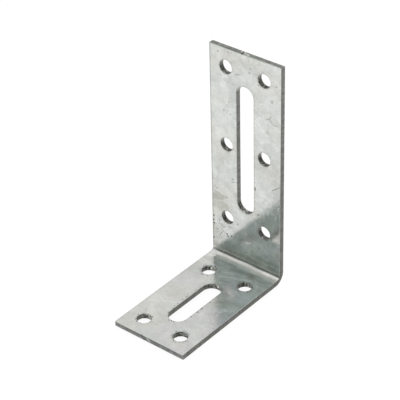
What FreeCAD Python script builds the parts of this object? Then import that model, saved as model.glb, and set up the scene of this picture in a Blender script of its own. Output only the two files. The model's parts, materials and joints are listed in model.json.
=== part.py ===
import FreeCAD, Part
import math
import os
from collections import namedtuple

import Sketcher

# Adjustable angle bracket: one steel strip, punched flat and folded once into a foot and an upright.
#
# Frame, in millimetres: the foot lies on z = 0 and reaches towards -Y, and the upright stands at the
# +Y end. X runs across the strip. The origin is under the middle of the bracket's outer box.

# Driving sizes, in millimetres, apart from the one angle, in degrees.
SIZES = {
    # Strip and fold.
    "width": 30.2,  # of the strip, along X
    "thickness": 2.0,  # of the sheet
    "upright_height": 87.05,  # floor to the top end
    "foot_length": 55.7,  # foot's free end to the upright's back face
    "outer_bend_radius": 4.2,  # heel of the fold
    "inner_bend_radius": 3.2,  # nose of the bending punch
    "inner_bend_turn": 35.0,  # degrees that the nose turns before it meets the upright in a crease
    # Round holes.
    "hole_diameter": 5.3,
    "hole_pitch_across": 16.2,  # between the two holes of a row
    "upright_end_margin": 7.35,  # top end to the centres of the first row
    "upright_row_pitch": 30.5,
    "foot_end_margin": 7.35,  # foot's free end to the centres of its first row
    "foot_row_pitch": 35.25,
    # Adjusting slots, on the strip's middle line and half-way along each leg's rows.
    "slot_width": 7.3,
    "upright_slot_length": 50.9,
    "foot_slot_length": 25.2,
    # Edges.
    "corner_radius": 0.5,  # of the free ends, seen on the flat
    "rollover_radius": 0.2,  # rim of the inner side, drawn in by the shear
    "press_mark_width": 0.45,  # line that the punch pressed along the crease
    "press_mark_depth": 0.12,
    # Marks on both free ends, where the strip was parted from the next one.
    "nick_place": 1.25,  # middle line to the nick, towards -X
    "nick_width": 0.5,
    "nick_depth": 0.4,
    "foot_nick_slant": 1.8,  # how much further towards -X the foot's nick lies on the inner side
    "scar_width": 2.2,  # shallow broken patch beside the nick
    "scar_depth": 0.12,
}

# What the two legs don't share. Rows of holes are counted from the leg's free end.
Leg = namedtuple(
    "Leg",
    [
        "name",
        "plane",  # origin plane that the leg is punched from
        "along_normal",  # whether the punch runs with that plane's normal
        "row_axis",
        "row_step",  # +1 or -1: the way from one row to the next, along that axis
        "end_row",
        "row_pitch",
        "rows",
        "slot_length",
        "end_plane",  # origin plane that the leg's end face is parallel to
        "end_shift",  # from there to the middle of the end face
        "nick_below",  # how far the nick is from the middle line on the end sketch's lower side
        "nick_above",
    ],
)

FOOT = Leg(
    name="Foot",
    plane="XY_Plane",
    along_normal=True,
    row_axis="Y_Axis",
    row_step=1,
    end_row="Sizes.foot_end_margin - Sizes.foot_length / 2",
    row_pitch="Sizes.foot_row_pitch",
    rows=2,
    slot_length="foot_slot_length",
    end_plane="XZ_Plane",
    end_shift={"y": "Sizes.thickness / 2", "z": "Sizes.foot_length / 2"},
    nick_below="Sizes.nick_place",
    nick_above="Sizes.nick_place + Sizes.foot_nick_slant",
)

UPRIGHT = Leg(
    name="Upright",
    plane="XZ_Plane",
    along_normal=False,
    row_axis="Z_Axis",
    row_step=-1,
    end_row="Sizes.upright_height - Sizes.upright_end_margin",
    row_pitch="Sizes.upright_row_pitch",
    rows=3,
    slot_length="upright_slot_length",
    end_plane="XY_Plane",
    end_shift={"y": "(Sizes.foot_length - Sizes.thickness) / 2", "z": "Sizes.upright_height"},
    nick_below="Sizes.nick_place",
    nick_above="Sizes.nick_place",
)

ROW_HOLE_COUNT = 2

TOUCH = 1e-6  # places closer together than this are the same place
UP = FreeCAD.Vector(0, 0, 1)

# Numbers by which a sketch knows the ends and the centre of a piece, and its own origin.
START, END, CENTRE = range(1, 4)
ORIGIN = -1


def make_size_sheet(doc):
    """Write the driving sizes into a sheet, one to a row: name and value, with the name as alias."""
    sheet = doc.addObject("Spreadsheet::Sheet", "Sizes")
    for row, (name, value) in enumerate(SIZES.items(), start=1):
        sheet.set(f"A{row}", name)
        sheet.set(f"B{row}", str(value))
        sheet.setAlias(f"B{row}", name)
    doc.recompute()


def origin_item(body, role):
    """Return an origin plane or axis of the body."""
    return next(item for item in body.Origin.OriginFeatures if item.Role == role)


def new_sketch(body, name, plane, shift):
    """Make a sketch on an origin plane. The shift gives its offsets there, as expressions by axis."""
    sketch = body.newObject("Sketcher::SketchObject", name)
    sketch.AttachmentSupport = [(origin_item(body, plane), "")]
    sketch.MapMode = "FlatFace"
    for axis, expression in shift.items():
        sketch.setExpression("AttachmentOffset.Base." + axis, expression)
    return sketch


def point(x, y):
    """Return a place in a sketch."""
    return FreeCAD.Vector(x, y, 0)


def arc(centre, radius, start, end):
    """Return an arc that runs anticlockwise from one angle to the other."""
    return Part.ArcOfCircle(Part.Circle(centre, UP, radius), start, end)


def join(sketch, kind, first, second):
    """Join the end of one piece of a sketch to the start of another."""
    sketch.addConstraint(Sketcher.Constraint(kind, first, END, second, START))


def drawn_size(sketch, kind, picks):
    """Measure what a dimension of this kind would hold in the sketch as drawn."""
    if kind == "Radius":
        return sketch.Geometry[picks[0]].Radius
    first = sketch.getPoint(*picks[:2])
    second = sketch.getPoint(*picks[2:])
    if kind == "DistanceX":
        return second.x - first.x
    return second.y - first.y


def tie(sketch, name, expression, kind, *picks):
    """Add a named dimension to a sketch and tie it to the size sheet."""
    index = sketch.addConstraint(Sketcher.Constraint(kind, *picks, drawn_size(sketch, kind, picks)))
    sketch.renameConstraint(index, name)
    sketch.setExpression("Constraints." + name, expression)


def draw_side_profile(body):
    """Draw the folded strip from the side, with Y to the right and Z up."""
    sizes = body.Document.Sizes
    foot_end = -sizes.foot_length / 2
    back = sizes.foot_length / 2
    front = back - sizes.thickness
    heel = point(back - sizes.outer_bend_radius, sizes.outer_bend_radius)
    turn = math.radians(sizes.inner_bend_turn)
    nose = point(front - sizes.inner_bend_radius * math.sin(turn), sizes.thickness + sizes.inner_bend_radius)
    crease = point(front, nose.y - sizes.inner_bend_radius * math.cos(turn))
    down = math.radians(270)
    right = math.radians(360)

    pieces = [
        Part.LineSegment(point(foot_end, 0), point(heel.x, 0)),
        arc(heel, sizes.outer_bend_radius, down, right),
        Part.LineSegment(point(back, heel.y), point(back, sizes.upright_height)),
        Part.LineSegment(point(back, sizes.upright_height), point(front, sizes.upright_height)),
        Part.LineSegment(point(front, sizes.upright_height), crease),
        arc(nose, sizes.inner_bend_radius, down, down + turn),
        Part.LineSegment(point(nose.x, sizes.thickness), point(foot_end, sizes.thickness)),
        Part.LineSegment(point(foot_end, sizes.thickness), point(foot_end, 0)),
    ]
    sole, heel_arc, back_face, top_end, front_face, nose_arc, tread, foot_tip = range(len(pieces))

    sketch = new_sketch(body, "SideProfile", "YZ_Plane", {})
    sketch.addGeometry(pieces, False)
    join(sketch, "Tangent", sole, heel_arc)
    join(sketch, "Tangent", heel_arc, back_face)
    join(sketch, "Coincident", back_face, top_end)
    join(sketch, "Coincident", top_end, front_face)
    join(sketch, "Coincident", tread, foot_tip)
    join(sketch, "Coincident", foot_tip, sole)
    sketch.addConstraint(Sketcher.Constraint("Coincident", front_face, END, nose_arc, END))
    sketch.addConstraint(Sketcher.Constraint("Tangent", nose_arc, START, tread, START))
    for level in (sole, top_end, tread):
        sketch.addConstraint(Sketcher.Constraint("Horizontal", level))
    for plumb in (back_face, front_face, foot_tip):
        sketch.addConstraint(Sketcher.Constraint("Vertical", plumb))
    sketch.addConstraint(Sketcher.Constraint("Horizontal", sole, START, ORIGIN, START))

    nose_reach = "Sizes.inner_bend_radius * sin(Sizes.inner_bend_turn * 1 deg)"
    tie(sketch, "HeelRadius", "Sizes.outer_bend_radius", "Radius", heel_arc)
    tie(sketch, "NoseRadius", "Sizes.inner_bend_radius", "Radius", nose_arc)
    tie(sketch, "NoseReach", nose_reach, "DistanceX", nose_arc, START, nose_arc, END)
    tie(sketch, "FootThickness", "Sizes.thickness", "DistanceY", foot_tip, END, foot_tip, START)
    tie(sketch, "UprightThickness", "Sizes.thickness", "DistanceX", top_end, END, top_end, START)
    tie(sketch, "FootLength", "Sizes.foot_length", "DistanceX", sole, START, back_face, START)
    tie(sketch, "HalfFootLength", "Sizes.foot_length / 2", "DistanceX", sole, START, ORIGIN, START)
    tie(sketch, "UprightHeight", "Sizes.upright_height", "DistanceY", sole, START, top_end, START)
    return sketch


def fold_strip(body):
    """Give the side profile the strip's width, half of it to each side."""
    pad = body.newObject("PartDesign::Pad", "FoldedStrip")
    pad.Profile = draw_side_profile(body)
    pad.SideType = "Symmetric"
    pad.setExpression("Length", "Sizes.width")
    body.Document.recompute()
    return pad


def fillet_edges(body, name, base, is_wanted, radius):
    """Round those edges of a feature that the test wants."""
    names = [f"Edge{index}" for index, edge in enumerate(base.Shape.Edges, start=1) if is_wanted(edge)]
    fillet = body.newObject("PartDesign::Fillet", name)
    fillet.Base = (base, names)
    fillet.setExpression("Radius", radius)
    body.Document.recompute()
    return fillet


def round_plan_corners(body, base):
    """Round the four corners of the two free ends, where the edges run through the sheet."""
    sizes = body.Document.Sizes

    def is_corner(edge):
        ends = [vertex.Point for vertex in edge.Vertexes]
        at_side = all(abs(abs(end.x) - sizes.width / 2) < TOUCH for end in ends)
        at_foot_end = all(abs(end.y + sizes.foot_length / 2) < TOUCH for end in ends)
        at_top_end = all(abs(end.z - sizes.upright_height) < TOUCH for end in ends)
        return at_side and (at_foot_end or at_top_end)

    return fillet_edges(body, "PlanCorners", base, is_corner, "Sizes.corner_radius")


def roll_over_inner_rim(body, base):
    """Round the rim of the inner side: the foot's tread, the nose of the fold and the front face."""
    sizes = body.Document.Sizes
    front = sizes.foot_length / 2 - sizes.thickness
    turn = math.radians(sizes.inner_bend_turn)
    nose_y = front + sizes.inner_bend_radius * (math.sin(turn / 2) - math.sin(turn))
    nose_z = sizes.thickness + sizes.inner_bend_radius * (1 - math.cos(turn / 2))
    middles = [(0, sizes.thickness), (nose_y, nose_z), (front, sizes.upright_height / 2)]

    def face_at(y, z):
        spot = Part.Vertex(0, y, z)
        return next(face for face in base.Shape.Faces if face.distToShape(spot)[0] < TOUCH)

    inner_faces = [face_at(y, z) for y, z in middles]

    def is_rim(edge):
        owners = [face for face in inner_faces if any(edge.isSame(other) for other in face.Edges)]
        return len(owners) == 1

    return fillet_edges(body, "InnerRim", base, is_rim, "Sizes.rollover_radius")


def recompute_cut(body, before):
    """Recompute after a cut, and stop if the body lost nothing by it."""
    body.Document.recompute()
    if not body.Shape.Volume < before - TOUCH:
        raise RuntimeError(body.Tip.Label + " cuts nothing")


def cut_through(body, name, sketch, along_normal):
    """Cut a sketch's outline right through the body, one way."""
    before = body.Shape.Volume
    pocket = body.newObject("PartDesign::Pocket", name)
    pocket.Profile = sketch
    pocket.Type = "ThroughAll"
    pocket.Reversed = along_normal
    recompute_cut(body, before)
    return pocket


def punch_holes(body, leg):
    """Punch the end row's hole on the -X side, and repeat it across the strip and along the leg."""
    shift = {"x": "-Sizes.hole_pitch_across / 2", "y": leg.end_row}
    sketch = new_sketch(body, leg.name + "HoleSketch", leg.plane, shift)
    sketch.addGeometry(Part.Circle(point(0, 0), UP, body.Document.Sizes.hole_diameter / 2), False)
    sketch.addConstraint(Sketcher.Constraint("Coincident", 0, CENTRE, ORIGIN, START))
    tie(sketch, "HoleRadius", "Sizes.hole_diameter / 2", "Radius", 0)
    hole = cut_through(body, leg.name + "Hole", sketch, leg.along_normal)

    before = body.Shape.Volume
    pattern = body.newObject("PartDesign::LinearPattern", leg.name + "Holes")
    pattern.Originals = [hole]
    pattern.Direction = (origin_item(body, "X_Axis"), [""])
    pattern.Occurrences = ROW_HOLE_COUNT
    pattern.setExpression("Length", f"{ROW_HOLE_COUNT - 1} * Sizes.hole_pitch_across")
    pattern.Direction2 = (origin_item(body, leg.row_axis), [""])
    pattern.Reversed2 = leg.row_step < 0
    pattern.Occurrences2 = leg.rows
    pattern.setExpression("Length2", f"{leg.rows - 1} * {leg.row_pitch}")
    body.Tip = pattern
    recompute_cut(body, before)


def punch_slot(body, leg):
    """Punch the leg's adjusting slot, with full round ends, half-way along its rows of holes."""
    sizes = body.Document.Sizes
    radius = sizes.slot_width / 2
    half_run = sizes.getPropertyByName(leg.slot_length) / 2 - radius
    pieces = [
        arc(point(0, half_run), radius, 0, math.pi),
        Part.LineSegment(point(-radius, half_run), point(-radius, -half_run)),
        arc(point(0, -half_run), radius, math.pi, 2 * math.pi),
        Part.LineSegment(point(radius, -half_run), point(radius, half_run)),
    ]
    upper_end, left_side, lower_end, right_side = range(len(pieces))

    middle = f"{leg.end_row} + {leg.row_step * (leg.rows - 1)} / 2 * {leg.row_pitch}"
    sketch = new_sketch(body, leg.name + "SlotSketch", leg.plane, {"y": middle})
    sketch.addGeometry(pieces, False)
    join(sketch, "Tangent", upper_end, left_side)
    join(sketch, "Tangent", left_side, lower_end)
    join(sketch, "Tangent", lower_end, right_side)
    join(sketch, "Tangent", right_side, upper_end)
    sketch.addConstraint(Sketcher.Constraint("Vertical", left_side))
    upper_centre = (upper_end, CENTRE)
    lower_centre = (lower_end, CENTRE)
    sketch.addConstraint(Sketcher.Constraint("Vertical", *upper_centre, ORIGIN, START))
    sketch.addConstraint(Sketcher.Constraint("Symmetric", *upper_centre, *lower_centre, ORIGIN, START))
    slot_run = f"Sizes.{leg.slot_length} - Sizes.slot_width"
    tie(sketch, "EndRadius", "Sizes.slot_width / 2", "Radius", upper_end)
    tie(sketch, "SlotRun", slot_run, "DistanceY", *lower_centre, *upper_centre)
    cut_through(body, leg.name + "Slot", sketch, leg.along_normal)


def press_crease(body):
    """Press a shallow round groove into the front face, all along the crease."""
    width = "Sizes.press_mark_width"
    depth = "Sizes.press_mark_depth"
    radius = f"({width} ^ 2 / 4 + {depth} ^ 2) / (2 * {depth})"
    crease_rise = "Sizes.inner_bend_radius * (1 - cos(Sizes.inner_bend_turn * 1 deg))"
    shift = {
        "x": "Sizes.foot_length / 2 - Sizes.thickness",
        "y": f"Sizes.thickness + {crease_rise} + {width} / 2",
    }
    sketch = new_sketch(body, "PressMarkSketch", "YZ_Plane", shift)
    # Drawn at unit size: its dimensions give the circle its real size and place.
    sketch.addGeometry(Part.Circle(point(-1, 0), UP, 1), False)
    sketch.addConstraint(Sketcher.Constraint("Horizontal", 0, CENTRE, ORIGIN, START))
    tie(sketch, "MarkRadius", radius, "Radius", 0)
    tie(sketch, "MarkPlace", f"{radius} - {depth}", "DistanceX", 0, CENTRE, ORIGIN, START)

    before = body.Shape.Volume
    pocket = body.newObject("PartDesign::Pocket", "PressMark")
    pocket.Profile = sketch
    pocket.Type = "ThroughAll"
    pocket.SideType = "Symmetric"
    recompute_cut(body, before)


def cut_band(body, leg, name, left_below, left_above, width, depth):
    """Sink a band into the leg's end face, right across the sheet. Its left side may lean."""
    sketch = new_sketch(body, leg.name + name + "Sketch", leg.end_plane, leg.end_shift)
    # Drawn at unit size: its dimensions give the band its real size and place.
    corners = [point(-2, -1), point(-1, -1), point(-1, 1), point(-2, 1)]
    for start, end in zip(corners, corners[1:] + corners[:1]):
        sketch.addGeometry(Part.LineSegment(start, end), False)
    below, right_side, above, left_side = range(len(corners))
    join(sketch, "Coincident", below, right_side)
    join(sketch, "Coincident", right_side, above)
    join(sketch, "Coincident", above, left_side)
    join(sketch, "Coincident", left_side, below)
    sketch.addConstraint(Sketcher.Constraint("Horizontal", below))
    sketch.addConstraint(Sketcher.Constraint("Horizontal", above))
    sketch.addConstraint(Sketcher.Constraint("Equal", below, above))
    tie(sketch, "BandWidth", width, "DistanceX", below, START, below, END)
    tie(sketch, "LeftBelow", left_below, "DistanceX", below, START, ORIGIN, START)
    tie(sketch, "LeftAbove", left_above, "DistanceX", above, END, ORIGIN, START)
    tie(sketch, "BelowMiddle", "Sizes.thickness / 2", "DistanceY", below, START, ORIGIN, START)
    tie(sketch, "AboveMiddle", "Sizes.thickness / 2", "DistanceY", ORIGIN, START, above, END)

    before = body.Shape.Volume
    pocket = body.newObject("PartDesign::Pocket", leg.name + name)
    pocket.Profile = sketch
    pocket.setExpression("Length", depth)
    recompute_cut(body, before)


def mark_parting(body, leg):
    """Mark the leg's end face with the parting's nick and the shallow scar beside it."""
    nick_below = leg.nick_below + " + Sizes.nick_width / 2"
    nick_above = leg.nick_above + " + Sizes.nick_width / 2"
    scar_start = "Sizes.nick_place"
    cut_band(body, leg, "Nick", nick_below, nick_above, "Sizes.nick_width", "Sizes.nick_depth")
    cut_band(body, leg, "Scar", scar_start, scar_start, "Sizes.scar_width", "Sizes.scar_depth")


def make_bracket(doc):
    """Make the bracket's body from the folded strip and its cuts."""
    body = doc.addObject("PartDesign::Body", "AngleBracket")
    body.Label = "angle_bracket"
    strip = fold_strip(body)
    rounded_strip = round_plan_corners(body, strip)
    roll_over_inner_rim(body, rounded_strip)
    for leg in (FOOT, UPRIGHT):
        punch_holes(body, leg)
        punch_slot(body, leg)
    press_crease(body)
    for leg in (FOOT, UPRIGHT):
        mark_parting(body, leg)
    return body


def stop_if_broken(doc, body):
    """Stop before anything is written if a feature failed or the solid isn't sound."""
    for item in doc.Objects:
        if "Invalid" in item.State or "Error" in item.State:
            raise RuntimeError(item.Label + " failed to compute")
    if body.Shape.isNull() or not body.Shape.isValid() or len(body.Shape.Solids) != 1:
        raise RuntimeError(body.Label + " isn't one valid solid")


def main():
    doc = FreeCAD.newDocument("AdjustableAngleBracket")
    make_size_sheet(doc)
    body = make_bracket(doc)
    doc.recompute()
    stop_if_broken(doc, body)
    os.makedirs("parts", exist_ok=True)
    body.Shape.exportStep(f"parts/{body.Label}.step")
    box = body.Shape.BoundBox
    print(f"{body.Label}: {box.XLength:.2f} x {box.YLength:.2f} x {box.ZLength:.2f} mm")
    print(f"{body.Shape.Volume:.1f} cubic mm")


main()
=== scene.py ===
import json
import math

import bpy
from mathutils import Matrix, Vector

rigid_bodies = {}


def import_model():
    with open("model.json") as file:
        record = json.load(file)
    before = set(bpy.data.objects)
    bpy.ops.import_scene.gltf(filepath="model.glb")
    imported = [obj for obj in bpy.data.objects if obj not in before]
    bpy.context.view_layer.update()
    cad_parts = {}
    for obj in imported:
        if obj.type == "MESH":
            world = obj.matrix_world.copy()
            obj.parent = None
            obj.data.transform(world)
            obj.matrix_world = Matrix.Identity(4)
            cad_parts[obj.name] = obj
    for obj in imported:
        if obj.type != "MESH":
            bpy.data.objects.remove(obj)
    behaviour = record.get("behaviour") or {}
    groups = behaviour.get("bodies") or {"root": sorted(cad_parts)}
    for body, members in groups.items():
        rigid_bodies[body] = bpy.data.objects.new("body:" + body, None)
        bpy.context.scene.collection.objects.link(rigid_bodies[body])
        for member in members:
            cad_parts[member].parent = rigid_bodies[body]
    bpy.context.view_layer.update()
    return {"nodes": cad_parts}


# Adjustable angle bracket of galvanised sheet, standing on its foot. The CAD solid keeps its shape, and
# this script gives it its finish, a pale floor, soft light and the camera.
#
# Frame, in metres: the foot lies on z = 0 towards -Y, the upright stands at +Y, and X runs across.

MM = 0.001

# Camera, as found from the photograph: its 400 x 400 frame, and the bracket's edges and holes in it.
FRAME_PIXELS = 400
FOCAL_PIXELS = 1620
SENSOR_WIDTH = 36.0  # mm
CAMERA_TURN = math.radians(40.02)  # from straight in front of the upright, towards +X
CAMERA_RISE = math.radians(33.885)
CAMERA_ROLL = math.radians(-1.433)
CAMERA_DISTANCE = 551.47 * MM
CAMERA_TARGET = Vector((-5.3, 7.49, 37.09)) * MM

# Studio. Levels are radiances, where 1 shows as white.
BACKDROP_LEVEL = 0.9
ROOM_LOW = (0.44, 0.495, 0.487)  # unlit side of the room, in front of the bracket
ROOM_HIGH = (0.775, 0.9, 0.96)
ROOM_RISE = (0.555, 0.64)  # height, as a sine, over which the room goes from its low to its high colour
ROOM_DIRECTION = Vector((-0.45, -0.89, 0)).normalized()
ROOM_REACH = (0.35, 0.7)  # cosines of the angles to that direction over which the room's side begins
ROOM_TOP = (0.62, 0.88)  # height over which the room gives way to the ceiling light
WHITE = (1, 1, 1, 1)
FLOOR_WIDTH = 4.0
FLOOR_SHADE = 0.93
FLOOR_SHADE_MIRRORED = 0.5
FLOOR_SHADE_SEEN = 0.2  # the lens sees the floor's shade, with the bracket's shadow, this strongly
FLOOR_GLOW_SEEN = 0.86  # and this glow on top of it, which brings it to white
FLOOR_GLOW_MIRRORED = 0.6  # mirrored rays see the floor through its shade and a glow in the same way

# Shape of the strip, in millimetres in its own frame, from which the finish finds faces and cut edges.
HALF_WIDTH = 15.1
THICKNESS = 2.0
BACK_FACE = 27.85
FRONT_FACE = BACK_FACE - THICKNESS
FOOT_TOP = THICKNESS
FOOT_END = -27.85
UPRIGHT_TOP = 87.05
OUTER_BEND_RADIUS = 4.2
FOLD_START = 22.0  # the foot is flat before this, along Y
FOLD_END = 6.0  # the upright is flat above this, along Z
CREASE_LINE = (2.36, 2.72)  # heights of the pressed line in the inner corner, along which shade is painted
HOLE_RADIUS = 2.65
SLOT_RADIUS = 3.65
HOLE_COLUMNS = (-8.1, 8.1)
FOOT_ROWS = (-20.5, 14.75)
UPRIGHT_ROWS = (18.7, 49.2, 79.7)
FOOT_SLOT = (-11.825, 6.075)  # from the centre of one round end to the other
UPRIGHT_SLOT = (27.4, 71.0)
RIM_WEAR = 1.4  # how far from a hole the zinc is specked by the punch
RIM_SHADE = 0.45  # and how far its dented rim reaches, which carries painted shade

# Finish. Colours are reflectances.
WARM_ZINC = (0.672, 0.668, 0.625)
COOL_ZINC = (0.64, 0.662, 0.64)
LILAC_ZINC = (0.665, 0.655, 0.655)
BARE_EDGE = (0.187, 0.188, 0.171)
BROKEN_END = (0.27, 0.273, 0.261)
DIRT_AND_SHADE_TINT = (0.74, 0.74, 0.7)  # what the zinc keeps of its colour where it is dirty, and where shade is painted above the crease
CORNER_SHADE = 0.72  # how strong the painted shade is on the upright just above the crease
CORNER_SHADE_HEIGHTS = (3.0, 17.0)  # over which that fades

# Sizes of the zinc's crystals across, in millimetres.
LARGE_CRYSTALS = 6.5
SMALL_CRYSTALS = 2.6
FLECKS = 1.2

# Tones multiply a colour. A pair goes from one end of a pattern's range to the other.
CLOUD_TONES = (0.93, 1.055)
LARGE_CRYSTAL_TONES = (0.94, 1.055)
SMALL_CRYSTAL_TONES = (0.945, 1.05)
FLECK_TONES = (0.97, 1.03)
GRAIN_TONES = (0.96, 1.04)
STREAK_TONES = (0.99, 1.01)
BEND_TONES = (1.07, 0.91)
LARGE_BORDER_TONE = 0.9
SMALL_BORDER_TONE = 0.95
FLECK_BORDER_TONE = 0.97
FOOT_CALM = 0.35  # how much of the clouds, crystals and grain is missing on the foot
MARK_TONE = 0.22
FAINT_MARKS = 0.62  # how strongly pits, lines and lone specks show, next to grit and the holes' specks
# painted shade on the dented rims round holes and slots
RIM_SHADE_TONE = 0.8
# painted shade along the crease, and a painted highlight on the strip above it
CREASE_SHADE = 0.3
ABOVE_CREASE_HIGHLIGHT = 1.25
# painted shade on the faces' left rim
LEFT_RIM_SHADE = 0.62

# Roughness of the zinc, and what is added to it in places.
ZINC_ROUGHNESS = (0.09, 0.12)
HAZE_ROUGHNESS = 0.07
CRYSTAL_ROUGHNESS = 0.03
MARK_ROUGHNESS = 0.3
FOOT_ROUGHNESS = 0.05

# Relief of the zinc, in millimetres.
TWIST = 0.009  # how far the strip's faces are turned, in height for each millimetre across
FOLD_SAG = 0.5
WAVE_HEIGHT = 0.09
STREAK_HEIGHT = 0.006
GRAIN_HEIGHT = 0.003
MARK_HEIGHT = -0.04
BORDER_HEIGHT = -0.01

# Cut edges. Depths are under the outer face, so the punch went in at the greatest depth.
TORN_TO_SMOOTH = (0.7, 1.6)  # depths over which the torn part of an edge gives way to its smooth part
EDGE_TONES = (1.18, 0.88)
EDGE_ROUGHNESS = (0.55, 0.4)
EDGE_HEIGHT = 0.05
DRAG_TONES = (0.8, 1.2)
TEAR_TONES = (0.75, 1.25)
LOW_TO_HIGH_TONES = (0.86, 1.03)
TOP_END_TONE = 1.36
GLINT_TONE = 8.0
SCAR_TONE = 2.4
NICK_SHADE_TONE = 0.45
OUTLINE_MARGIN = 0.3  # cut edges farther than this inside the strip's outline are walls of holes or slots

# Walls of holes and slots, by their depth, with painted shade and painted light by the way they face.
LIP = (1.25, 1.75)  # depths over which a wall ends in its pale lip
LIP_TONES = (0.95, 1.5)
SLOT_AND_HOLE_TONES = (1.2, 0.85)
BOTTOM_TO_PATCH_TONES = (0.68, 1.2)  # from a hole's lowest point to the pale patch beside it
PATCH_TO_SIDE_TONES = (1.0, 0.4)
FOOT_WALL_TONES = (1.55, 0.67)
WALL_SHADE_TONES = (0.45, 1.8)
# painted light on walls that face down or back
WALL_AWAY_TONE = 1.8
CHIP_TONE = 2.2


def on_upright(x, z):
    """Return a place on the upright's front face."""
    return Vector((x, FRONT_FACE, z))


def on_foot(x, y):
    """Return a place on the foot's upper face."""
    return Vector((x, y, FOOT_TOP))


# Marks of use and of the zinc bath, and painted glints, highlights, a reflection, light and shade, where the
# photograph shows them: places in millimetres.
PITS = (
    on_upright(-11.35, 84.6),
    on_upright(-7.0, 85.6),
    on_upright(2.2, 82.4),
    on_upright(13.15, 79.3),
    on_upright(-6.85, 66.5),
    on_upright(-9.05, 62.6),
    on_upright(-6.2, 62.0),
    on_upright(-12.9, 11.9),
    on_upright(-11.6, 9.7),
    on_upright(-11.0, 10.9),
    on_upright(-3.5, 17.5),
    on_upright(2.8, 8.6),
    on_upright(9.0, 8.9),
    on_foot(-10.7, -16.5),
)
PIT_RADIUS = 0.42
GRIT = (
    on_upright(-8.4, 11.4),
    on_upright(-8.0, 10.5),
    on_upright(-6.3, 11.2),
    on_upright(-14.5, 7.5),
    on_upright(-14.4, 17.1),
    on_upright(-14.5, 15.1),
    on_upright(-14.3, 13.9),
)
GRIT_RADIUS = 0.5
DARK_LINES = (
    (on_upright(-3.7, 78.3), on_upright(-2.0, 78.7)),
    (on_upright(8.9, 65.4), on_upright(10.3, 65.9)),
    (on_upright(10.3, 65.9), on_upright(10.95, 67.3)),
    (on_upright(10.3, 65.9), on_upright(11.8, 64.3)),
    (on_upright(11.8, 64.3), on_upright(13.45, 64.2)),
    (on_upright(11.5, 37.9), on_upright(14.8, 40.5)),
    (on_upright(-11.1, 14.3), on_upright(-9.3, 13.8)),
    (on_upright(-14.0, 30.1), on_upright(-12.3, 29.3)),
    (on_upright(-6.4, 34.5), on_upright(-3.7, 35.1)),
)
LINE_HALF_WIDTH = 0.17
STREAKS_AND_HIGHLIGHTS = (  # softer streaks, one a painted reflection on the upright and the last a painted highlight on the fold: both ends, half width and tone
    (on_upright(4.2, 35.3), on_upright(4.2, 36.3), 0.5, 0.4),
    (on_upright(5.4, 62.5), on_upright(9.6, 58.8), 0.26, 1.1),
    (on_upright(7.2, 52.0), on_upright(11.2, 46.2), 0.26, 1.1),
    (on_upright(-14.2, 74.5), on_upright(-9.0, 75.4), 0.26, 1.1),
    # a painted reflection of a hole in the foot, as a pale dash
    (on_upright(0.2, 11.2), on_upright(2.0, 11.9), 0.5, 1.4),
    (on_foot(-12.4, -7.2), on_foot(-9.6, -8.6), 0.26, 1.1),
    (on_foot(-9.6, -8.6), on_foot(-5.2, -7.0), 0.26, 1.1),
    (on_foot(-1.8, 20.0), on_foot(6.4, 21.3), 1.3, 0.86),
    (on_foot(6.0, 20.2), on_foot(12.4, 20.6), 1.0, 0.86),
    (on_foot(-3.6, 16.8), on_foot(-1.0, 17.6), 0.9, 1.15),
    (on_foot(-2.8, 14.3), on_foot(2.3, 16.6), 0.7, 1.26),
    (on_foot(2.9, 16.5), on_foot(8.2, 18.7), 0.7, 1.24),
    (on_foot(-0.8, 12.5), on_foot(2.3, 13.4), 0.5, 0.8),
    (on_foot(3.0, 10.6), on_foot(7.1, 6.5), 1.6, 1.14),
    (on_foot(8.2, 20.4), on_foot(11.7, 17.4), 0.6, 1.12),
    (on_foot(11.7, 17.4), on_foot(12.7, 13.0), 0.6, 1.12),
    (on_foot(7.1, 10.5), on_foot(9.9, 9.4), 0.6, 1.16),
    (on_foot(9.6, -1.2), on_foot(13.0, 2.4), 2.6, 1.15),
    # a painted highlight at the right end of the fold's bright band
    (Vector((9.0, 25.2, 2.3)), Vector((15.0, 25.2, 2.3)), 1.3, 1.18),
)
SMUDGES = (  # brown with dirt: both ends, half width, and how dirty
    (on_upright(-13.6, 27.9), on_upright(-10.4, 26.9), 0.8, 0.9),
    (on_upright(-14.3, 26.4), on_upright(-8.4, 27.1), 0.75, 1.6),
    (on_upright(-14.3, 24.8), on_upright(-10.6, 26.3), 1.6, 1.4),
    (on_upright(-14.4, 22.6), on_upright(-9.6, 22.6), 3.2, 1.0),
    (on_upright(-14.9, 10.0), on_upright(-14.7, 24.0), 1.4, 0.6),
    (on_upright(-9.5, 5.2), on_upright(-3.0, 5.4), 2.8, 0.95),
    (on_upright(2.0, 4.4), on_upright(13.0, 5.4), 3.2, 1.0),
    (on_foot(0.5, 20.4), on_foot(7.0, 21.3), 1.5, 0.6),
)
SPECKLED = on_upright(-11.0, 14.0)
SPECKLED_RADIUS = 8.0
PARTING_SCARS = (
    (Vector((-1.6, FRONT_FACE + 1.2, UPRIGHT_TOP)), Vector((1.2, FRONT_FACE + 0.5, UPRIGHT_TOP)), 0.8),
    (Vector((-1.0, FOOT_END, 1.3)), Vector((0.7, FOOT_END, 1.0)), 0.5),
)
# painted shade in the nick of parting at the foot's end
NICK_SHADE = (Vector((-1.9, FOOT_END, 1.9)), Vector((0.2, FOOT_END, 0.1)), 0.3)
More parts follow.
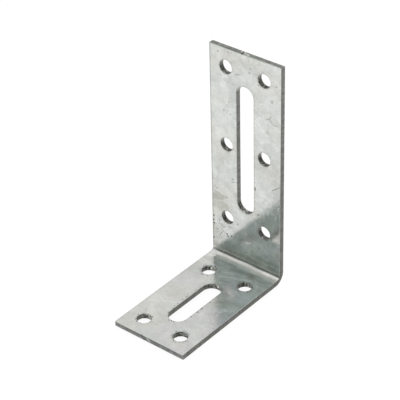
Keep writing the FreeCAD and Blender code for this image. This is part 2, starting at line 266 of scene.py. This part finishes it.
# painted glints on two hole walls
GLINTS = (Vector((0.16, 9.72, 1.16)), Vector((-8.84, 17.3, 1.0)))
GLINT_RADIUS = 0.45
LIT_AND_SHADED_PATCHES = (  # painted light and painted shade on the foot: centre, radius and tone
    (on_foot(-8.8, -10.0), 8.0, 1.06),
    (on_foot(-12.5, 12.0), 9.0, 0.93),
)
DULL_PATCHES = (  # where mirrored things hardly show: centre, radius and added roughness
    (on_upright(1.8, 11.6), 5.5, 0.14),
    (on_upright(13.9, 11.3), 3.8, 0.3),
    (on_upright(-14.0, 4.3), 3.4, 0.35),
    (SPECKLED, SPECKLED_RADIUS, 0.08),
)


def add_node(tree, kind, inputs=None, **settings):
    """Add a shader node, set its properties, and fill its inputs with values or other nodes' outputs."""
    node = tree.nodes.new(kind)
    for name, value in settings.items():
        setattr(node, name, value)
    for key, value in (inputs or {}).items():
        if isinstance(value, bpy.types.NodeSocket):
            tree.links.new(value, node.inputs[key])
        else:
            node.inputs[key].default_value = value
    return node


def add_camera():
    """Place the camera at the photograph's viewpoint, with its lens and its slight roll."""
    back = Vector(
        (
            math.sin(CAMERA_TURN) * math.cos(CAMERA_RISE),
            -math.cos(CAMERA_TURN) * math.cos(CAMERA_RISE),
            math.sin(CAMERA_RISE),
        )
    )
    level_right = Vector((math.cos(CAMERA_TURN), math.sin(CAMERA_TURN), 0))
    level_up = back.cross(level_right)
    right = math.cos(CAMERA_ROLL) * level_right + math.sin(CAMERA_ROLL) * level_up
    up = back.cross(right)
    data = bpy.data.cameras.new("camera")
    data.sensor_width = SENSOR_WIDTH
    data.lens = FOCAL_PIXELS / FRAME_PIXELS * SENSOR_WIDTH
    data.clip_start = 10 * MM
    data.clip_end = 100
    camera = bpy.data.objects.new("camera", data)
    rotation = Matrix((right, up, back)).transposed().to_4x4()
    camera.matrix_world = Matrix.Translation(CAMERA_TARGET + back * CAMERA_DISTANCE) @ rotation
    bpy.context.scene.collection.objects.link(camera)
    bpy.context.scene.camera = camera


def calculate(tree, operation, *values):
    """Add a math node on one to three values, and return its result."""
    node = add_node(tree, "ShaderNodeMath", dict(enumerate(values)), operation=operation)
    return node.outputs[0]


def product(tree, first, *others):
    """Multiply numbers together, and return the result."""
    for other in others:
        first = calculate(tree, "MULTIPLY", first, other)
    return first


def total(tree, first, *others):
    """Add numbers up, and return the result."""
    for other in others:
        first = calculate(tree, "ADD", first, other)
    return first


def any_of(tree, masks):
    """Return the largest of some masks."""
    whole, *others = masks
    for mask in others:
        whole = calculate(tree, "MAXIMUM", whole, mask)
    return whole


def combine(tree, operation, *vectors, result="Vector", **settings):
    """Add a vector math node, and return its vector, or its number where result is Value."""
    inputs = dict(enumerate(vectors))
    inputs.update(settings)
    return add_node(tree, "ShaderNodeVectorMath", inputs, operation=operation).outputs[result]


def axes(tree, vector):
    """Return a vector's three numbers, by the names X, Y and Z."""
    return add_node(tree, "ShaderNodeSeparateXYZ", {0: vector}).outputs


def grade(tree, value, start, end, low, high):
    """Turn a value between start and end into one between low and high, with a soft beginning and end."""
    spans = {"Value": value, "From Min": start, "From Max": end, "To Min": low, "To Max": high}
    return add_node(tree, "ShaderNodeMapRange", spans, interpolation_type="SMOOTHSTEP").outputs["Result"]


def blend(tree, share, first, second):
    """Go from the first number to the second as share goes from 0 to 1."""
    spans = {"Value": share, "To Min": first, "To Max": second}
    return add_node(tree, "ShaderNodeMapRange", spans).outputs["Result"]


def mix_colours(tree, share, first, second):
    """Go from the first colour to the second as share goes from 0 to 1."""
    inputs = {0: share, 4: first, 5: second}
    return add_node(tree, "ShaderNodeMix", inputs, data_type="VECTOR").outputs[1]


def tinted(tree, mask, tone):
    """Return the tone where the mask is 1, and 1 where it is 0."""
    return blend(tree, mask, 1.0, tone)


def light_studio():
    """Light the bracket by a pale surround: white overhead, behind and beside it, dim low in front."""
    world = bpy.data.worlds.new("studio")
    world.use_nodes = True
    bpy.context.scene.world = world
    tree = world.node_tree
    tree.nodes.clear()
    direction = add_node(tree, "ShaderNodeTexCoord").outputs["Generated"]
    height = axes(tree, direction)["Z"]
    towards_room = combine(tree, "DOT_PRODUCT", direction, ROOM_DIRECTION, result="Value")
    in_front = grade(tree, towards_room, *ROOM_REACH, 0.0, 1.0)
    low_down = grade(tree, height, *ROOM_TOP, 1.0, 0.0)
    room = product(tree, in_front, low_down)
    room_colour = mix_colours(tree, grade(tree, height, *ROOM_RISE, 0.0, 1.0), ROOM_LOW, ROOM_HIGH)
    bright = add_node(tree, "ShaderNodeBackground", {"Color": WHITE, "Strength": BACKDROP_LEVEL})
    dim = add_node(tree, "ShaderNodeBackground", {"Color": room_colour, "Strength": 1.0})
    surround = add_node(tree, "ShaderNodeMixShader", {0: room, 1: bright.outputs[0], 2: dim.outputs[0]})
    seen = add_node(tree, "ShaderNodeBackground", {"Color": WHITE, "Strength": 1.0})
    from_camera = add_node(tree, "ShaderNodeLightPath").outputs["Is Camera Ray"]
    choices = {0: from_camera, 1: surround.outputs[0], 2: seen.outputs[0]}
    shown = add_node(tree, "ShaderNodeMixShader", choices)
    add_node(tree, "ShaderNodeOutputWorld", {"Surface": shown.outputs[0]})


def add_floor():
    """Lay a plain white floor under the foot."""
    half = FLOOR_WIDTH / 2
    mesh = bpy.data.meshes.new("floor")
    corners = [(-half, -half, 0), (half, -half, 0), (half, half, 0), (-half, half, 0)]
    mesh.from_pydata(corners, [], [(0, 1, 2, 3)])
    floor = bpy.data.objects.new("floor", mesh)
    bpy.context.scene.collection.objects.link(floor)
    material = bpy.data.materials.new("floor_white")
    material.use_nodes = True
    shader = material.node_tree.nodes["Principled BSDF"]
    shader.inputs["Roughness"].default_value = 1.0
    shader.inputs["Specular IOR Level"].default_value = 0.0
    shader.inputs["Emission Color"].default_value = WHITE
    tree = material.node_tree
    ray = add_node(tree, "ShaderNodeLightPath")
    from_camera = ray.outputs["Is Camera Ray"]
    mirrored = ray.outputs["Is Glossy Ray"]
    shade = blend(tree, mirrored, FLOOR_SHADE, FLOOR_SHADE_MIRRORED)
    shade = blend(tree, from_camera, shade, FLOOR_SHADE_SEEN)
    glow = product(tree, mirrored, FLOOR_GLOW_MIRRORED)
    glow = blend(tree, from_camera, glow, FLOOR_GLOW_SEEN)
    grey = add_node(tree, "ShaderNodeCombineColor", {0: shade, 1: shade, 2: shade})
    tree.links.new(grey.outputs[0], shader.inputs["Base Color"])
    tree.links.new(glow, shader.inputs["Emission Strength"])
    mesh.materials.append(material)


def sheet_frame(tree):
    """Return a point's place in millimetres, its depth under the outer face, and the way out of the sheet.

    The outer face is the underside of the foot, the round of the fold and the back of the upright.
    """
    metres = add_node(tree, "ShaderNodeTexCoord").outputs["Object"]
    place = combine(tree, "SCALE", metres, Scale=1 / MM)
    fold_axis = (0, BACK_FACE - OUTER_BEND_RADIUS, OUTER_BEND_RADIUS)
    from_axis = combine(tree, "SUBTRACT", place, fold_axis)
    outwards = combine(tree, "MAXIMUM", combine(tree, "MULTIPLY", from_axis, (0, 1, -1)), (0, 0, 0))
    reach = combine(tree, "LENGTH", outwards, result="Value")
    depth = calculate(tree, "SUBTRACT", OUTER_BEND_RADIUS, reach)
    way_out = combine(tree, "NORMALIZE", combine(tree, "MULTIPLY", outwards, (0, 1, -1)))
    return place, depth, way_out


def surface_way(tree):
    """Return the surface's way out, in the bracket's own frame."""
    return add_node(tree, "ShaderNodeTexCoord").outputs["Normal"]


def cut_edge_mask(tree, parts):
    """Return 1 on the sheared ends, sides and hole walls, and 0 on the rolled faces of the sheet."""
    past_foot = calculate(tree, "GREATER_THAN", parts["Y"], FOLD_START)
    below_upright = calculate(tree, "LESS_THAN", parts["Z"], FOLD_END)
    face_way = add_node(tree, "ShaderNodeCombineXYZ", {"Y": past_foot, "Z": below_upright}).outputs[0]
    facing = combine(tree, "LENGTH", combine(tree, "MULTIPLY", surface_way(tree), face_way), result="Value")
    return grade(tree, facing, 0.5, 0.9, 1.0, 0.0)


def hole_wall_mask(tree, parts):
    """Return 1 inside the strip's outline, where a cut edge is the wall of a hole or slot."""
    aside = calculate(tree, "ABSOLUTE", parts["X"])
    return product(
        tree,
        calculate(tree, "LESS_THAN", aside, HALF_WIDTH - OUTLINE_MARGIN),
        calculate(tree, "GREATER_THAN", parts["Y"], FOOT_END + OUTLINE_MARGIN),
        calculate(tree, "LESS_THAN", parts["Z"], UPRIGHT_TOP - OUTLINE_MARGIN),
    )


def near_front(tree, parts):
    """Return 1 on the upright's front face, and 0 on its back."""
    return calculate(tree, "LESS_THAN", parts["Y"], FRONT_FACE + 0.5)


def crease_mask(tree, parts):
    """Return 1 along the line that the press left in the inner corner of the fold, where shade is painted.
    """
    bottom, top = CREASE_LINE
    above = grade(tree, parts["Z"], bottom - 0.06, bottom + 0.06, 0.0, 1.0)
    below = grade(tree, parts["Z"], top - 0.1, top + 0.2, 1.0, 0.0)
    in_corner = calculate(tree, "GREATER_THAN", parts["Y"], FOLD_START)
    return product(tree, above, below, in_corner, near_front(tree, parts))


def noise(tree, place, scale, detail=2.0, roughness=0.5, distortion=0.0):
    """Return noise between 0 and 1, with features of about one over scale millimetres."""
    inputs = {
        "Vector": place,
        "Scale": scale,
        "Detail": detail,
        "Roughness": roughness,
        "Distortion": distortion,
    }
    return add_node(tree, "ShaderNodeTexNoise", inputs).outputs["Fac"]


def spot(tree, place, centre, radius):
    """Return 1 around a centre, falling softly to 0 at the radius."""
    distance = combine(tree, "DISTANCE", place, centre, result="Value")
    return grade(tree, distance, 0.35 * radius, radius, 1.0, 0.0)


def distance_to_stroke(tree, place, start, end):
    """Return the distance to a straight stroke between two places."""
    way = (end - start).normalized()
    from_start = combine(tree, "SUBTRACT", place, start)
    along = combine(tree, "DOT_PRODUCT", from_start, way, result="Value")
    along = calculate(tree, "MAXIMUM", calculate(tree, "MINIMUM", along, (end - start).length), 0.0)
    nearest = combine(tree, "SCALE", way, Scale=along)
    return combine(tree, "DISTANCE", from_start, nearest, result="Value")


def stroke(tree, place, start, end, half_width):
    """Return 1 along a straight stroke, falling softly to 0 beside it."""
    distance = distance_to_stroke(tree, place, start, end)
    return grade(tree, distance, 0.3 * half_width, half_width, 1.0, 0.0)


def crystals(tree, place, size):
    """Return the tone and hue of zinc crystals of about this size, and a mask of the borders that show."""
    wander = add_node(tree, "ShaderNodeTexNoise", {"Vector": place, "Scale": 1.3 / size, "Detail": 3.0})
    push = combine(tree, "SUBTRACT", wander.outputs["Color"], (0.5, 0.5, 0.5))
    bent = combine(tree, "ADD", place, combine(tree, "SCALE", push, Scale=0.9 * size))
    inputs = {"Vector": bent, "Scale": 1 / size}
    cells = add_node(tree, "ShaderNodeTexVoronoi", inputs, feature="F1")
    own = add_node(tree, "ShaderNodeSeparateColor", {0: cells.outputs["Color"]}).outputs
    borders = add_node(tree, "ShaderNodeTexVoronoi", inputs, feature="DISTANCE_TO_EDGE")
    line = grade(tree, borders.outputs["Distance"], 0.01, 0.035, 1.0, 0.0)
    showing = grade(tree, noise(tree, place, 0.7 / size), 0.52, 0.62, 0.0, 1.0)
    return own[0], own[1], product(tree, line, showing)


def unfolded(tree, parts):
    """Return a point's place on the strip as if it were laid out flat."""
    along = calculate(tree, "ADD", parts["Y"], parts["Z"])
    return add_node(tree, "ShaderNodeCombineXYZ", {"X": parts["X"], "Y": along}).outputs[0]


def specks(tree, place, spacing, share, dimensions="2D"):
    """Return 1 on small round specks, one in a cell of this spacing, in about this share of the cells."""
    inputs = {"Vector": place, "Scale": 1 / spacing}
    cells = add_node(tree, "ShaderNodeTexVoronoi", inputs, feature="F1", voronoi_dimensions=dimensions)
    own = add_node(tree, "ShaderNodeSeparateColor", {0: cells.outputs["Color"]}).outputs[0]
    chosen = calculate(tree, "LESS_THAN", own, share)
    return product(tree, chosen, grade(tree, cells.outputs["Distance"], 0.12, 0.34, 1.0, 0.0))


def rim_distance(tree, place):
    """Return how far a point on the upper or front face is from the nearest hole or slot."""
    distances = []
    for x in HOLE_COLUMNS:
        centres = [on_foot(x, y) for y in FOOT_ROWS] + [on_upright(x, z) for z in UPRIGHT_ROWS]
        for centre in centres:
            to_centre = combine(tree, "DISTANCE", place, centre, result="Value")
            distances.append(calculate(tree, "SUBTRACT", to_centre, HOLE_RADIUS))
    for start, end in (
        (on_foot(0, FOOT_SLOT[0]), on_foot(0, FOOT_SLOT[1])),
        (on_upright(0, UPRIGHT_SLOT[0]), on_upright(0, UPRIGHT_SLOT[1])),
    ):
        to_axis = distance_to_stroke(tree, place, start, end)
        distances.append(calculate(tree, "SUBTRACT", to_axis, SLOT_RADIUS))
    nearest = distances.pop()
    for distance in distances:
        nearest = calculate(tree, "MINIMUM", nearest, distance)
    return nearest


def dark_marks(tree, place, parts, from_rim):
    """Return how dark the faces' pits, lines and specks are, from 0 to 1."""
    flat = unfolded(tree, parts)
    on_foot_top = calculate(tree, "LESS_THAN", parts["Z"], FOOT_TOP + 1.0)
    near_rim = grade(tree, from_rim, RIM_WEAR / 3, RIM_WEAR, 1.0, 0.0)
    near_rim = product(tree, near_rim, blend(tree, on_foot_top, 0.3, 1.0))
    near_grit = spot(tree, place, SPECKLED, SPECKLED_RADIUS)
    faint = [spot(tree, place, centre, PIT_RADIUS) for centre in PITS]
    faint += [stroke(tree, place, start, end, LINE_HALF_WIDTH) for start, end in DARK_LINES]
    faint += [
        product(tree, specks(tree, flat, 0.8, 0.3), near_grit),
        product(tree, specks(tree, flat, 1.9, 0.012), 0.6),
    ]
    strong = [spot(tree, place, centre, GRIT_RADIUS) for centre in GRIT]
    strong.append(product(tree, specks(tree, flat, 0.95, 0.5), near_rim))
    return any_of(tree, strong + [product(tree, mask, FAINT_MARKS) for mask in faint])


def mottling(tree, place, cloud, flat_foot):
    """Return the zinc's tone and hue from its clouds, crystals and grain, and two masks of crystals."""
    grain = noise(tree, place, 1.1, detail=3, roughness=0.6)
    large_tone, large_hue, large_border = crystals(tree, place, LARGE_CRYSTALS)
    small_tone, small_hue, small_border = crystals(tree, place, SMALL_CRYSTALS)
    fleck_tone, _, fleck_border = crystals(tree, place, FLECKS)
    tone = product(
        tree,
        grade(tree, cloud, 0.34, 0.66, *CLOUD_TONES),
        blend(tree, large_tone, *LARGE_CRYSTAL_TONES),
        blend(tree, small_tone, *SMALL_CRYSTAL_TONES),
        blend(tree, fleck_tone, *FLECK_TONES),
        tinted(tree, large_border, LARGE_BORDER_TONE),
        tinted(tree, small_border, SMALL_BORDER_TONE),
        tinted(tree, fleck_border, FLECK_BORDER_TONE),
        grade(tree, grain, 0.3, 0.7, *GRAIN_TONES),
    )
    tone = blend(tree, product(tree, flat_foot, FOOT_CALM), tone, 1.0)
    hue = total(tree, product(tree, large_hue, 0.3), product(tree, small_hue, 0.2))
    return tone, hue, small_tone, large_border


def dirt_and_shade(tree, place, parts):
    """Return how much the zinc is darkened: by painted shade in the corner above the crease, and by dirt
    where it is smudged.
    """
    in_corner = product(
        tree,
        grade(tree, parts["Z"], *CORNER_SHADE_HEIGHTS, CORNER_SHADE, 0.0),
        near_front(tree, parts),
        calculate(tree, "GREATER_THAN", parts["Z"], FOOT_TOP + 0.7),
    )
    smudges = [
        product(tree, stroke(tree, place, start, end, half_width), strength)
        for start, end, half_width, strength in SMUDGES
    ]
    broken_up = grade(tree, noise(tree, place, 1.1, detail=4, roughness=0.7), 0.4, 0.6, 0.45, 1.2)
    return calculate(tree, "MAXIMUM", in_corner, product(tree, any_of(tree, smudges), broken_up))


def zinc_colour(tree, place, parts, hue):
    """Return the zinc's colour: warm to cool, lilac in places on the foot, browned where dirty, and darker
    where shade is painted above the crease.
    """
    warmth = grade(tree, noise(tree, place, 0.07, detail=3), 0.4, 0.6, 0.0, 0.5)
    lilac = product(
        tree,
        grade(tree, noise(tree, place, 0.09, detail=2), 0.5, 0.62, 0.0, 0.8),
        grade(tree, parts["Z"], 3.0, 30.0, 1.0, 0.25),
        grade(tree, parts["Y"], 18.0, 22.0, 1.0, 0.3),
    )
    colour = mix_colours(tree, total(tree, warmth, hue), WARM_ZINC, COOL_ZINC)
    colour = mix_colours(tree, lilac, colour, LILAC_ZINC)
    overlay = mix_colours(tree, dirt_and_shade(tree, place, parts), (1, 1, 1), DIRT_AND_SHADE_TINT)
    return combine(tree, "MULTIPLY", colour, overlay)


def crease_tone(tree, parts, streak):
    """Return the tone of the broken painted shade along the line in the inner corner, and of the painted
    highlight on the strip just above it.
    """
    line = product(tree, crease_mask(tree, parts), grade(tree, streak, 0.4, 0.6, 0.3, 1.0))
    top = CREASE_LINE[1]
    strip = product(
        tree,
        near_front(tree, parts),
        grade(tree, parts["Z"], top + 0.1, top + 0.4, 0.0, 1.0),
        grade(tree, parts["Z"], top + 0.6, top + 2.0, 1.0, 0.0),
    )
    return product(tree, tinted(tree, line, CREASE_SHADE), tinted(tree, strip, ABOVE_CREASE_HIGHLIGHT))


def bend_tone(tree, place, parts):
    """Return the tone of the streaks that bending left beside the fold, on the foot."""
    beside_fold = product(
        tree,
        grade(tree, parts["Y"], 12.0, 20.0, 0.0, 1.0),
        grade(tree, parts["Y"], 22.0, 23.5, 1.0, 0.0),
    )
    along_fold = combine(tree, "MULTIPLY", place, (0.15, 1.0, 1.0))
    streaks = grade(tree, noise(tree, along_fold, 0.8, detail=3), 0.42, 0.62, *BEND_TONES)
    return tinted(tree, beside_fold, streaks)


def left_rim_shade(tree, parts):
    """Return the painted shade on the faces' left rim, which is drawn in by the shears, and less so on the
    foot.
    """
    rim = grade(tree, parts["X"], -HALF_WIDTH + 0.3, -HALF_WIDTH + 0.65, 1.0, 0.0)
    return tinted(tree, product(tree, rim, grade(tree, parts["Z"], 2.0, 6.0, 0.4, 1.0)), LEFT_RIM_SHADE)


def wear_and_painted_light(tree, place):
    """Return the tone of the rubbed streaks, with a painted reflection and a painted highlight among them,
    and of the painted light and shade of the foot's patches.
    """
    streaks = [
        tinted(tree, stroke(tree, place, start, end, half_width), tone)
        for start, end, half_width, tone in STREAKS_AND_HIGHLIGHTS
    ]
    patches = [
        tinted(tree, spot(tree, place, centre, radius), tone)
        for centre, radius, tone in LIT_AND_SHADED_PATCHES
    ]
    return product(tree, *streaks, *patches)


def zinc_roughness(tree, place, cloud, flat_foot, crystal_tone, dark):
    """Return the zinc's roughness: bright, with haze, and duller on crystals, marks and dull patches."""
    haze = noise(tree, place, 0.3, detail=4, roughness=0.6)
    dull = [product(tree, spot(tree, place, centre, radius), more) for centre, radius, more in DULL_PATCHES]
    return total(
        tree,
        grade(tree, cloud, 0.35, 0.65, *ZINC_ROUGHNESS),
        grade(tree, haze, 0.45, 0.7, 0.0, HAZE_ROUGHNESS),
        product(tree, crystal_tone, CRYSTAL_ROUGHNESS),
        product(tree, dark, MARK_ROUGHNESS),
        product(tree, flat_foot, FOOT_ROUGHNESS),
        *dull,
    )


def zinc_relief(tree, place, parts, streak, crystal_border, dark):
    """Return the zinc's height in millimetres: turned and wavy faces, streaks, grain, borders and marks."""
    fold_sag = product(
        tree,
        grade(tree, parts["Y"], FOLD_START + 0.3, FRONT_FACE + 0.05, 0.0, FOLD_SAG),
        grade(tree, parts["Z"], FOOT_TOP - 0.2, FOOT_TOP - 0.1, 0.0, 1.0),
        calculate(tree, "LESS_THAN", parts["Z"], CREASE_LINE[0] + 0.2),
    )
    return total(
        tree,
        fold_sag,
        product(tree, parts["X"], TWIST),
        product(tree, noise(tree, place, 0.11, detail=2), WAVE_HEIGHT),
        product(tree, streak, STREAK_HEIGHT),
        product(tree, noise(tree, place, 3.0, detail=3, roughness=0.6), GRAIN_HEIGHT),
        product(tree, dark, MARK_HEIGHT),
        product(tree, crystal_border, BORDER_HEIGHT),
    )


def zinc_faces(tree, place, parts):
    """Return colour, roughness and height of the hot-dipped faces: clouds, crystals, streaks and marks."""
    cloud = noise(tree, place, 0.14, detail=5, roughness=0.62, distortion=0.8)
    streak = noise(tree, combine(tree, "MULTIPLY", place, (0.12, 0.6, 0.6)), 0.8, detail=4, roughness=0.6)
    flat_foot = calculate(tree, "LESS_THAN", parts["Y"], FOLD_START)
    from_rim = rim_distance(tree, place)
    dark = dark_marks(tree, place, parts, from_rim)
    mottled, hue, crystal_tone, crystal_border = mottling(tree, place, cloud, flat_foot)
    tone = product(
        tree,
        mottled,
        grade(tree, streak, 0.3, 0.7, *STREAK_TONES),
        tinted(tree, dark, MARK_TONE),
        tinted(tree, grade(tree, from_rim, 0.15, RIM_SHADE, 1.0, 0.0), RIM_SHADE_TONE),
        crease_tone(tree, parts, streak),
        bend_tone(tree, place, parts),
        left_rim_shade(tree, parts),
        wear_and_painted_light(tree, place),
    )
    colour = combine(tree, "SCALE", zinc_colour(tree, place, parts, hue), Scale=tone)
    roughness = zinc_roughness(tree, place, cloud, flat_foot, crystal_tone, dark)
    relief = zinc_relief(tree, place, parts, streak, crystal_border, dark)
    return colour, roughness, relief


def wall_shade(tree, parts, sideways):
    """Return the painted shade and light of hole walls, going round a hole: the upright's have a painted
    pale patch near the bottom.
    """
    aside = calculate(tree, "ABSOLUTE", parts["X"])
    beside_slot = calculate(tree, "GREATER_THAN", aside, SLOT_RADIUS + 1.0)
    in_upright = product(
        tree,
        blend(tree, beside_slot, *SLOT_AND_HOLE_TONES),
        grade(tree, sideways, 0.0, 0.26, *BOTTOM_TO_PATCH_TONES),
        grade(tree, sideways, 0.26, 0.7, *PATCH_TO_SIDE_TONES),
    )
    in_foot = grade(tree, sideways, -0.3, 0.85, *FOOT_WALL_TONES)
    return blend(tree, calculate(tree, "LESS_THAN", parts["Z"], FOOT_TOP + 0.5), in_upright, in_foot)


def wall_tone(tree, place, parts, ragged):
    """Return the tone of hole walls: painted shade, broken up and chipped, where they face up or forwards,
    and painted light where they face down or back.
    """
    way = axes(tree, surface_way(tree))
    forwards = product(tree, way["Y"], -1.0)
    downwards = product(tree, way["Z"], -1.0)
    hole_wall = hole_wall_mask(tree, parts)
    shown = grade(tree, calculate(tree, "MAXIMUM", way["Z"], forwards), 0.0, 0.3, 0.0, 1.0)
    away = grade(tree, calculate(tree, "MAXIMUM", downwards, way["Y"]), 0.05, 0.4, 0.0, 1.0)
    shaded_walls = product(tree, hole_wall, shown)
    overlay = product(
        tree,
        wall_shade(tree, parts, way["X"]),
        grade(tree, ragged, *LIP, *LIP_TONES),
        grade(tree, noise(tree, place, 1.5, detail=3, roughness=0.7), 0.42, 0.58, *WALL_SHADE_TONES),
    )
    chips = specks(tree, place, 0.8, 0.9, dimensions="3D")
    return product(
        tree,
        tinted(tree, shaded_walls, overlay),
        tinted(tree, product(tree, shaded_walls, chips), CHIP_TONE),
        tinted(tree, product(tree, hole_wall, away), WALL_AWAY_TONE),
    )


def parting_and_glint_tone(tree, place, parts, tear):
    """Return the tone of the paler top end, of the scars of parting, of the painted shade in the nick of
    parting, and of two painted glints.
    """
    top_end = calculate(tree, "GREATER_THAN", parts["Z"], UPRIGHT_TOP - OUTLINE_MARGIN)
    glints = any_of(tree, [spot(tree, place, centre, GLINT_RADIUS) for centre in GLINTS])
    scars = any_of(tree, [stroke(tree, place, *scar) for scar in PARTING_SCARS])
    scars = product(tree, scars, grade(tree, tear, 0.35, 0.6, 0.4, 1.0))
    return product(
        tree,
        tinted(tree, top_end, TOP_END_TONE),
        tinted(tree, glints, GLINT_TONE),
        tinted(tree, scars, SCAR_TONE),
        tinted(tree, stroke(tree, place, *NICK_SHADE), NICK_SHADE_TONE),
    )


def torn_edges(tree, place, parts, depth, way_out):
    """Return colour, roughness and height of the cut edges: dark at the punch's side, torn beyond it."""
    dragged = combine(tree, "ADD", place, combine(tree, "SCALE", way_out, Scale=product(tree, depth, 0.8)))
    drag = noise(tree, dragged, 1.1, detail=4, roughness=0.6)
    tear = noise(tree, place, 2.2, detail=4, roughness=0.65)
    ragged = total(tree, depth, product(tree, calculate(tree, "SUBTRACT", drag, 0.5), 1.2))
    smooth = grade(tree, ragged, *TORN_TO_SMOOTH, 0.0, 1.0)
    tone = product(
        tree,
        blend(tree, smooth, *EDGE_TONES),
        grade(tree, drag, 0.35, 0.65, *DRAG_TONES),
        grade(tree, tear, 0.35, 0.65, *TEAR_TONES),
        grade(tree, parts["Z"], 5.0, 70.0, *LOW_TO_HIGH_TONES),
        wall_tone(tree, place, parts, ragged),
        parting_and_glint_tone(tree, place, parts, tear),
    )
    foot_end = calculate(tree, "LESS_THAN", parts["Y"], FOOT_END + 0.5)
    colour = combine(tree, "SCALE", mix_colours(tree, foot_end, BARE_EDGE, BROKEN_END), Scale=tone)
    roughness = blend(tree, smooth, *EDGE_ROUGHNESS)
    relief = product(tree, total(tree, drag, tear), EDGE_HEIGHT)
    return colour, roughness, relief


def galvanised_steel():
    """Make the strip's whole finish: bright mottled zinc on its faces, dark bare steel where it is cut."""
    material = bpy.data.materials.new("galvanised_steel")
    material.use_nodes = True
    tree = material.node_tree
    shader = tree.nodes["Principled BSDF"]
    shader.inputs["Metallic"].default_value = 1.0
    place, depth, way_out = sheet_frame(tree)
    parts = axes(tree, place)
    cut = cut_edge_mask(tree, parts)
    face_colour, face_roughness, face_relief = zinc_faces(tree, place, parts)
    edge_colour, edge_roughness, edge_relief = torn_edges(tree, place, parts, depth, way_out)
    relief = blend(tree, cut, face_relief, edge_relief)
    bump = add_node(tree, "ShaderNodeBump", {"Height": relief, "Distance": MM, "Strength": 1.0})
    tree.links.new(mix_colours(tree, cut, face_colour, edge_colour), shader.inputs["Base Color"])
    tree.links.new(blend(tree, cut, face_roughness, edge_roughness), shader.inputs["Roughness"])
    tree.links.new(bump.outputs["Normal"], shader.inputs["Normal"])
    return material


for old in list(bpy.data.objects):
    bpy.data.objects.remove(old)
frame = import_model()
bracket = frame["nodes"]["angle_bracket"]
bracket.material_slots[0].material = galvanised_steel()
add_camera()
light_studio()
add_floor()
bpy.context.scene.view_settings.view_transform = "Standard"
